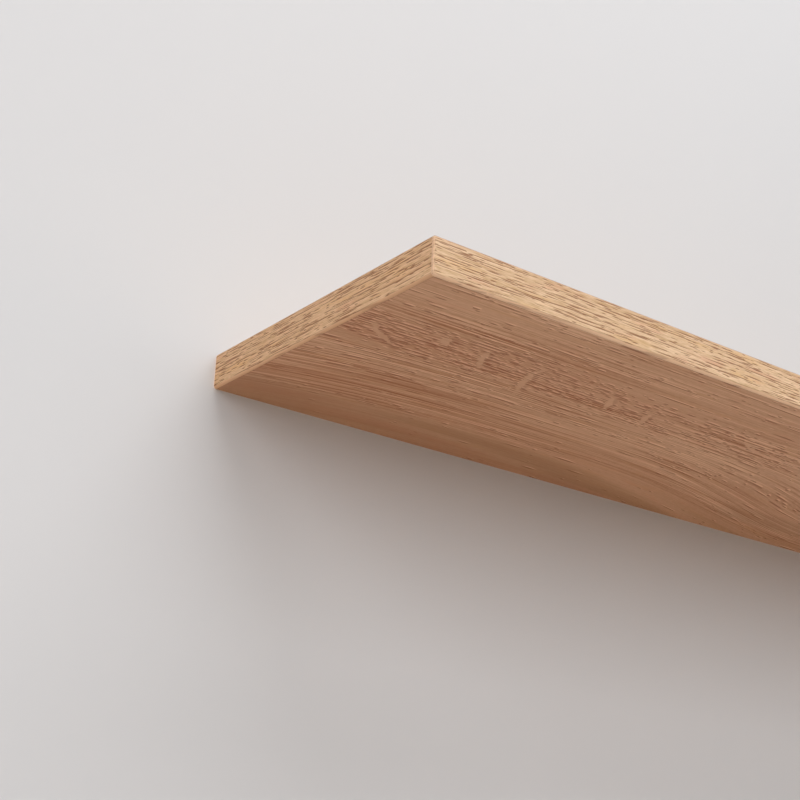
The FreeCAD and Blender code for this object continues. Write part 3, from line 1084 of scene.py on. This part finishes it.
def turn_up(piece, centre, rings):
    """Extrudes the piece's disc along +Y, through (y, radius) rings about the centre's axis."""
    y, radius = rings[0]
    with Editing(piece) as edit:
        edit.pick_all()
        for next_y, next_radius in rings[1:]:
            bpy.ops.mesh.extrude_region_move(TRANSFORM_OT_translate={"value": (0, next_y - y, 0)})
            ratio = next_radius / radius
            bpy.ops.transform.resize(value=(ratio, 1, ratio), center_override=(centre.x, next_y, centre.z))
            y, radius = next_y, next_radius
        edit.face_outwards()


def join(first, second):
    """Joins the second piece's mesh into the first."""
    choose_only(first)
    second.select_set(True)
    bpy.ops.object.join()


def copy_along_x(piece, name, distance):
    """A copy of a piece with its own mesh, moved along X."""
    copy = piece.copy()
    copy.data = piece.data.copy()
    copy.name = name
    bpy.context.scene.collection.objects.link(copy)
    copy.location.x += distance
    settle(copy)
    return copy


# ---- Threaded screws -----------------------------------------------------------------------------
def screw_body(settings, axis_x):
    """Head, shank, core and point of one screw, with no thread yet."""
    head_y, tip_y = screws_low.y, screws_high.y
    head_radius = screws_high.z
    shank_radius = settings.shank_diameter / 2
    core_radius = settings.core_diameter / 2
    rim_height = 0.25 * MM
    run_out = 1 * MM
    tip_radius = 0.08 * MM
    thread_y = tip_y - settings.thread_length
    rings = [
        (head_y, head_radius - rim_height),
        (head_y + rim_height, head_radius - rim_height),
        (head_y + head_radius - shank_radius, shank_radius),
        (thread_y - run_out, shank_radius),
        (thread_y, core_radius),
        (tip_y - settings.point_length, core_radius),
        (tip_y, tip_radius),
    ]
    piece = disc("screw_body", rings[0][1], settings.sides, (axis_x, head_y, 0))
    turn_up(piece, Vector((axis_x, 0, 0)), rings)
    return piece


def cut_recess(piece, settings, axis_x):
    """Cuts a tapered cross recess into the screw's head."""
    head_y = screws_low.y
    clearance = 0.2 * MM
    near = 0.05 * MM
    arm_share = 0.24
    bottom_share = 0.45
    grid_arm = settings.recess_width / 6
    arm = settings.recess_width * arm_share / 2
    narrowing = arm / grid_arm
    drop = settings.recess_depth + clearance
    deselect_all()
    bpy.ops.mesh.primitive_grid_add(x_subdivisions=3, y_subdivisions=3, size=settings.recess_width,
                                    location=(axis_x, head_y - clearance, 0), rotation=UPRIGHT)
    cutter = bpy.context.object
    settle(cutter)
    with Editing(cutter) as edit:
        edit.pick(lambda co: abs(co.x - axis_x) < grid_arm + near)
        bpy.ops.transform.resize(value=(narrowing, 1, 1), center_override=(axis_x, head_y, 0))
        edit.pick(lambda co: abs(co.z) < grid_arm + near)
        bpy.ops.transform.resize(value=(1, 1, narrowing), center_override=(axis_x, head_y, 0))
        edit.pick(lambda co: abs(co.x - axis_x) > arm + near and abs(co.z) > arm + near)
        bpy.ops.mesh.delete(type="VERT")
        edit.pick_all()
        bpy.ops.mesh.extrude_region_move(TRANSFORM_OT_translate={"value": (0, drop, 0)})
        bpy.ops.transform.resize(value=(bottom_share, 1, bottom_share),
                                 center_override=(axis_x, head_y + drop, 0))
        edit.face_outwards()
    use_modifier(piece, "BOOLEAN", operation="DIFFERENCE", object=cutter, solver="EXACT")
    bpy.data.objects.remove(cutter)


def thread_ridge(settings, axis_x):
    """The helical ridge of the thread, tapered over the screw's point."""
    tip_y = screws_high.y
    sunk = 0.15 * MM
    lead_in = 0.4 * MM
    flatness = 0.42
    steps_per_turn = 24
    slices = 28
    slices_past_tip = 8
    least_share = 0.06
    root_radius = settings.core_diameter / 2 - sunk
    crest = settings.thread_diameter / 2 - root_radius
    turns = int((settings.thread_length - settings.thread_pitch) / settings.thread_pitch)
    start_y = tip_y - settings.thread_length + lead_in
    deselect_all()
    bpy.ops.mesh.primitive_circle_add(vertices=3, radius=crest * 2 / 3, fill_type="NOTHING")
    ridge = bpy.context.object
    with Editing(ridge) as edit:
        edit.pick_all()
        bpy.ops.transform.rotate(value=math.radians(90), orient_axis="Z", center_override=(0, 0, 0))
        bpy.ops.transform.resize(value=(1, flatness, 1), center_override=(0, 0, 0))
        bpy.ops.transform.translate(value=(root_radius + crest / 3, start_y, 0))
    use_modifier(ridge, "SCREW", axis="Y", angle=2 * math.pi, screw_offset=settings.thread_pitch,
                 iterations=turns, steps=steps_per_turn, render_steps=steps_per_turn,
                 use_merge_vertices=False)
    with Editing(ridge) as edit:
        edit.pick_all()
        bpy.ops.mesh.fill_holes(sides=3)
        slice_length = settings.point_length / slices
        for number in range(slices + slices_past_tip):
            low = tip_y - settings.point_length + number * slice_length
            left = max(least_share, 1 - (number + 0.5) / slices)
            edit.pick(lambda co: low <= co.y < low + slice_length)
            bpy.ops.transform.resize(value=(left, 1, left), center_override=(0, low, 0))
        edit.face_outwards()
        bpy.ops.transform.translate(value=(axis_x, 0, 0))
    return ridge


# ---- Weld beads ----------------------------------------------------------------------------------
def weld_bead(name, settings, rod_box):
    """A rippled ring of weld round one rod's root, on the rail's face."""
    low, high = rod_box
    middle = Vector(((low.x + high.x) / 2, rail_face_y - settings.off_rail, 0))
    ring_radius = (high.x - low.x) / 2 - settings.inset
    bead_sides = 10
    steps = 2 * settings.ripples
    half_slice = 0.1 * MM
    thinner = 1 - settings.ripple_depth
    deselect_all()
    bpy.ops.mesh.primitive_torus_add(major_segments=steps, minor_segments=bead_sides,
                                     major_radius=ring_radius, minor_radius=settings.bead_diameter / 2,
                                     location=middle, rotation=UPRIGHT)
    bead = bpy.context.object
    bead.name = name
    settle(bead)
    with Editing(bead) as edit:
        for number in range(1, steps, 2):
            angle = 2 * math.pi * number / steps
            spoke = Vector((math.cos(angle), 0, math.sin(angle)))
            aside = Vector((-spoke.z, 0, spoke.x))
            centre = middle + ring_radius * spoke
            edit.pick(lambda co: (co - centre).length < settings.bead_diameter
                      and abs((co - centre).dot(aside)) < half_slice)
            bpy.ops.transform.resize(value=(thinner, thinner, thinner), center_override=centre)
    choose_only(bead)
    bpy.ops.object.shade_smooth()
    return bead


# ---- Stage ---------------------------------------------------------------------------------------
WALL_WIDTH = 7.0
WALL_HEIGHT = 4.2
WALL_GAP = 0.5 * MM             # behind the board's back edge
FLOOR_DEPTH = 6.0
LAMP_TARGET = (0, -0.12, 0)
LAMPS = {                       # place, width and height of each lamp
    "front": ((0, -3.2, 0.9), 2.6, 2.0),
    "side": ((-2.6, -1.6, 0.7), 2.0, 2.0),
    "top": ((0, -1.2, 2.2), 2.6, 2.0),
    "back": ((0, 2.6, 0.9), 3.6, 2.6),
}
CAMERA_PLACE = (-0.84672, -0.82662, -0.36205)
CAMERA_TURN = (110.449, -2.253, -36.938)
SENSOR_WIDTH = 36.0             # in millimetres, like the lens
CLIP_DISTANCES = (0.05, 50)     # nearest and farthest that the camera sees


def add_sheet(name, width, depth, place, turn, material):
    """A large flat sheet of the stage."""
    deselect_all()
    bpy.ops.mesh.primitive_plane_add(size=1, location=place, rotation=turn)
    sheet = bpy.context.object
    sheet.name = name
    sheet.scale = (width, depth, 1)
    settle(sheet)
    sheet.data.materials.append(material)


def one_sided_paint(name, paint, hidden_from_lamps=None):
    """Plain paint that is clear from behind. hidden_from_lamps works out where lamps shine through."""
    material = bpy.data.materials.new(name)
    wiring = empty_wiring(material)
    place = object_place(wiring)
    shaded = 0.9                        # how bright the paint is where its stipple shades it
    stipple = wiring.clouds(place, 260.0, 260.0, 260.0, 3.0)
    bump = wiring.node("ShaderNodeBump", {"Height": stipple, "Distance": 0.06 * MM, "Strength": 0.4})
    shade = wiring.times_plus(stipple, 0.02, 0.98)
    tone = wiring.blend(shade, tuple(shaded * value for value in paint), tuple(paint))
    surface = wiring.node("ShaderNodeBsdfDiffuse", {"Color": tone, "Normal": bump.outputs[0]})
    clear = wiring.node("ShaderNodeNewGeometry").outputs["Backfacing"]
    if hidden_from_lamps:
        shadow_ray = wiring.node("ShaderNodeLightPath").outputs["Is Shadow Ray"]
        clear = wiring.larger(clear, wiring.times(shadow_ray, hidden_from_lamps(wiring, place)))
    glass = wiring.node("ShaderNodeBsdfTransparent")
    mixed = wiring.node("ShaderNodeMixShader", {0: clear, 1: surface.outputs[0], 2: glass.outputs[0]})
    wiring.node("ShaderNodeOutputMaterial", {"Surface": mixed.outputs[0]})
    return material


def add_wall(settings):
    """The wall. Lamps behind it reach the board's back edge, where it covers the wall."""
    def behind_board(wiring, place):
        """1 where the board covers the wall, and 0 elsewhere."""
        x, _, z = wiring.parts(place)
        within_length = wiring.math("LESS_THAN", wiring.absolute(x), end_x)
        within_height = wiring.math("LESS_THAN", wiring.absolute(z), top_z)
        return wiring.times(within_length, within_height)

    middle = WALL_HEIGHT / 2 - settings.shelf_height
    add_sheet("stage_wall", WALL_WIDTH, WALL_HEIGHT, (0, WALL_GAP, middle), UPRIGHT,
              one_sided_paint("Wall paint", settings.wall, behind_board))


def add_floor(settings):
    """The floor, as far below the shelf as the settings say."""
    add_sheet("stage_floor", WALL_WIDTH, FLOOR_DEPTH, (0, 0, -settings.shelf_height), (0, 0, 0),
              one_sided_paint("Floor", settings.floor))


def add_lamps(settings):
    """The soft rectangular lamps, all facing the shelf."""
    for side, (place, width, height) in LAMPS.items():
        deselect_all()
        bpy.ops.object.light_add(type="AREA", location=place)
        lamp = bpy.context.object
        lamp.name = side + "_lamp"
        facing = Vector(LAMP_TARGET) - Vector(place)
        lamp.rotation_euler = facing.to_track_quat("-Z", "Y").to_euler()
        lamp.data.shape = "RECTANGLE"
        lamp.data.size = width
        lamp.data.size_y = height
        lamp.data.energy = getattr(settings, side + "_power")


def add_world(settings):
    """Even light from all round, with a plain backdrop where the camera looks past the stage."""
    world = bpy.data.worlds.new("Studio")
    bpy.context.scene.world = world
    wiring = empty_wiring(world)
    rays = wiring.node("ShaderNodeLightPath").outputs
    seen = wiring.larger(rays["Is Camera Ray"], rays["Is Glossy Ray"])
    seen = wiring.larger(seen, rays["Is Transmission Ray"])
    light = wiring.node("ShaderNodeBackground", {"Color": (1.0, 1.0, 1.0), "Strength": settings.sky})
    backdrop = wiring.node("ShaderNodeBackground", {"Color": settings.backdrop, "Strength": 1.0})
    mixed = wiring.node("ShaderNodeMixShader", {0: seen, 1: light.outputs[0], 2: backdrop.outputs[0]})
    wiring.node("ShaderNodeOutputWorld", {"Surface": mixed.outputs[0]})


def add_camera(settings):
    """The camera, below the shelf's left end and looking up at it."""
    deselect_all()
    turn = [math.radians(angle) for angle in CAMERA_TURN]
    bpy.ops.object.camera_add(location=CAMERA_PLACE, rotation=turn)
    camera = bpy.context.object
    camera.name = "camera"
    camera.data.sensor_width = SENSOR_WIDTH
    camera.data.lens = settings.lens
    camera.data.clip_start, camera.data.clip_end = CLIP_DISTANCES
    bpy.context.scene.camera = camera


# ---- Operators: one for each piece or group of like pieces, and one for the stage ----------------
class SHELF_OT_edge_bands(bpy.types.Operator):
    """Finishes the front and end edge bands"""

    bl_idname = "shelf.edge_bands"
    bl_label = "Finish Edge Bands"

    def execute(self, context):
        settings = context.scene.shelf_band

        def below_front(wiring, place):
            """How far a point lies behind the front face."""
            return wiring.minus(place["Y"], front_y)

        def below_end(wiring, place):
            """How far a point lies in from its end face."""
            return wiring.minus(end_x, wiring.absolute(place["X"]))

        front_pores = {"Short Pores": 0.5, "Long Pores": 0.45, "Flecks": 0.4, "Pore Spread": 0.76}
        front_band = band_material("Oak front band", settings, "XY", below_front, settings.lower_rim_painted_light,
                                   front_pores)
        dress(front_band, "front_edge_band")
        # The end bands are a shaded copy of the front band: painted shade over their decor and dimmer painted
        # light on their lower rim.
        end_pores = {"Short Pores": 0.6, "Long Pores": 0.55, "Flecks": 0.5, "Pore Spread": 0.8}
        end_bands = band_material("Oak end band", settings, "YX", below_end, settings.end_lower_rim_painted_light,
                                  end_pores, settings.end_painted_shade)
        dress(end_bands, "left_end_band", "right_end_band")
        return {"FINISHED"}


class SHELF_OT_laminates(bpy.types.Operator):
    """Finishes the laminate on the top and on the underside"""

    bl_idname = "shelf.laminates"
    bl_label = "Finish Laminates"

    def execute(self, context):
        laminate = context.scene.shelf_laminate
        band = context.scene.shelf_band
        under_pores = {"Pore Spread": 1.75, "Pore Reach": 1.5, "Fleck Reach": 1.0, "Pore Strength": 0.66,
                       "Rim Strength": 1.0}
        # The underside takes the laminate's own tones, which hold painted warm light; the top takes the
        # bands' tones.
        underside = laminate_material("Oak underside", laminate, laminate, laminate.red_stripe,
                                      laminate.brown_stripe, under_pores, laminate.emboss)
        dress(underside, "underside_laminate")
        top_pores = {"Pore Spread": 1.0, "Pore Reach": 0.8, "Fleck Reach": 0.8, "Pore Strength": 0.5,
                     "Rim Strength": 0.4}
        top = laminate_material("Oak top", laminate, band, band.pink_wood, band.golden_wood, top_pores,
                                laminate.top_emboss)
        dress(top, "top_laminate")
        return {"FINISHED"}


class SHELF_OT_core(bpy.types.Operator):
    """Finishes the raw chipboard core"""

    bl_idname = "shelf.core"
    bl_label = "Finish Core"

    def execute(self, context):
        dress(chipboard_material("Raw chipboard", context.scene.shelf_core), "chipboard_core")
        return {"FINISHED"}


class SHELF_OT_bracket(bpy.types.Operator):
    """Finishes the rail and its rods, and models the rods' weld beads"""

    bl_idname = "shelf.bracket"
    bl_label = "Finish Bracket"

    def execute(self, context):
        fittings = context.scene.shelf_fittings
        dress(metal_material("Zinc-plated rail", "X", fittings, "zinc"), "wall_rail")
        rods = metal_material("Zinc-plated rods", "Y", fittings, "zinc")
        dress(rods, "left_support_rod", "right_support_rod")
        for side, rod_box in rod_boxes.items():
            bead = weld_bead(side + "_weld_bead", context.scene.shelf_welds, rod_box)
            bead.data.materials.append(rods)
            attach(bead, BRACKET)
        return {"FINISHED"}


class SHELF_OT_mouldings(bpy.types.Operator):
    """Finishes the nylon sleeves and wall plugs"""

    bl_idname = "shelf.mouldings"
    bl_label = "Finish Nylon Mouldings"

    def execute(self, context):
        fittings = context.scene.shelf_fittings
        dress(nylon_material("Black nylon", fittings.sleeve_pale, fittings.sleeve_deep),
              "left_rod_sleeve", "right_rod_sleeve")
        dress(nylon_material("Grey nylon", fittings.plug_pale, fittings.plug_deep), "wall_plugs")
        return {"FINISHED"}


class SHELF_OT_screws(bpy.types.Operator):
    """Models the four threaded wall screws"""

    bl_idname = "shelf.screws"
    bl_label = "Model Wall Screws"

    def execute(self, context):
        settings = context.scene.shelf_screws
        smooth_below = math.radians(35)
        first_x, *other_places = screw_places()
        first = screw_body(settings, first_x)
        cut_recess(first, settings, first_x)
        join(first, thread_ridge(settings, first_x))
        first.name = "threaded_screw_1"
        choose_only(first)
        bpy.ops.object.shade_smooth_by_angle(angle=smooth_below)
        yellow_zinc = metal_material("Yellow zinc", "Y", context.scene.shelf_fittings, "yellow")
        first.data.materials.clear()
        first.data.materials.append(yellow_zinc)
        screws = [first]
        for number, x in enumerate(other_places, start=2):
            screws.append(copy_along_x(first, f"threaded_screw_{number}", x - first_x))
        for screw in screws:
            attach(screw, BRACKET)
            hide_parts("wall_screws")
        return {"FINISHED"}


class SHELF_OT_stage(bpy.types.Operator):
    """Sets up the wall, floor, lamps, world and camera"""

    bl_idname = "shelf.stage"
    bl_label = "Set Up Stage"

    def execute(self, context):
        for add in (add_wall, add_floor, add_lamps, add_world, add_camera):
            add(context.scene.shelf_stage)
        context.scene.view_settings.view_transform = "Standard"
        return {"FINISHED"}


# ---- Add-on --------------------------------------------------------------------------------------
SETTINGS = {
    "shelf_band": ShelfBandSettings,
    "shelf_laminate": ShelfLaminateSettings,
    "shelf_core": ShelfCoreSettings,
    "shelf_fittings": ShelfFittingSettings,
    "shelf_screws": ShelfScrewSettings,
    "shelf_welds": ShelfWeldSettings,
    "shelf_stage": ShelfStageSettings,
}
OPERATORS = (
    SHELF_OT_edge_bands,
    SHELF_OT_laminates,
    SHELF_OT_core,
    SHELF_OT_bracket,
    SHELF_OT_mouldings,
    SHELF_OT_screws,
    SHELF_OT_stage,
)


class SHELF_PT_panel(bpy.types.Panel):
    """Lists the shelf's operators and settings"""

    bl_idname = "SHELF_PT_panel"
    bl_label = "Floating Wall Shelf"
    bl_space_type = "VIEW_3D"
    bl_region_type = "UI"
    bl_category = "Shelf"

    def draw(self, context):
        for operator in OPERATORS:
            self.layout.operator(operator.bl_idname)
        for group_name, group in SETTINGS.items():
            box = self.layout.box()
            box.label(text=group.__doc__)
            for setting in group.__annotations__:
                box.prop(getattr(context.scene, group_name), setting)


def register():
    """Adds the settings, the operators and the panel to Blender."""
    for group_name, group in SETTINGS.items():
        bpy.utils.register_class(group)
        setattr(bpy.types.Scene, group_name, PointerProperty(type=group))
    for operator in OPERATORS:
        bpy.utils.register_class(operator)
    bpy.utils.register_class(SHELF_PT_panel)


def unregister():
    """Takes them out again."""
    bpy.utils.unregister_class(SHELF_PT_panel)
    for operator in reversed(OPERATORS):
        bpy.utils.unregister_class(operator)
    for group_name, group in SETTINGS.items():
        delattr(bpy.types.Scene, group_name)
        bpy.utils.unregister_class(group)


def main():
    """Registers the add-on and runs its operators in order."""
    register()
    bpy.ops.shelf.edge_bands()
    bpy.ops.shelf.laminates()
    bpy.ops.shelf.core()
    bpy.ops.shelf.bracket()
    bpy.ops.shelf.mouldings()
    bpy.ops.shelf.screws()
    bpy.ops.shelf.stage()


if __name__ == "__main__":
    main()
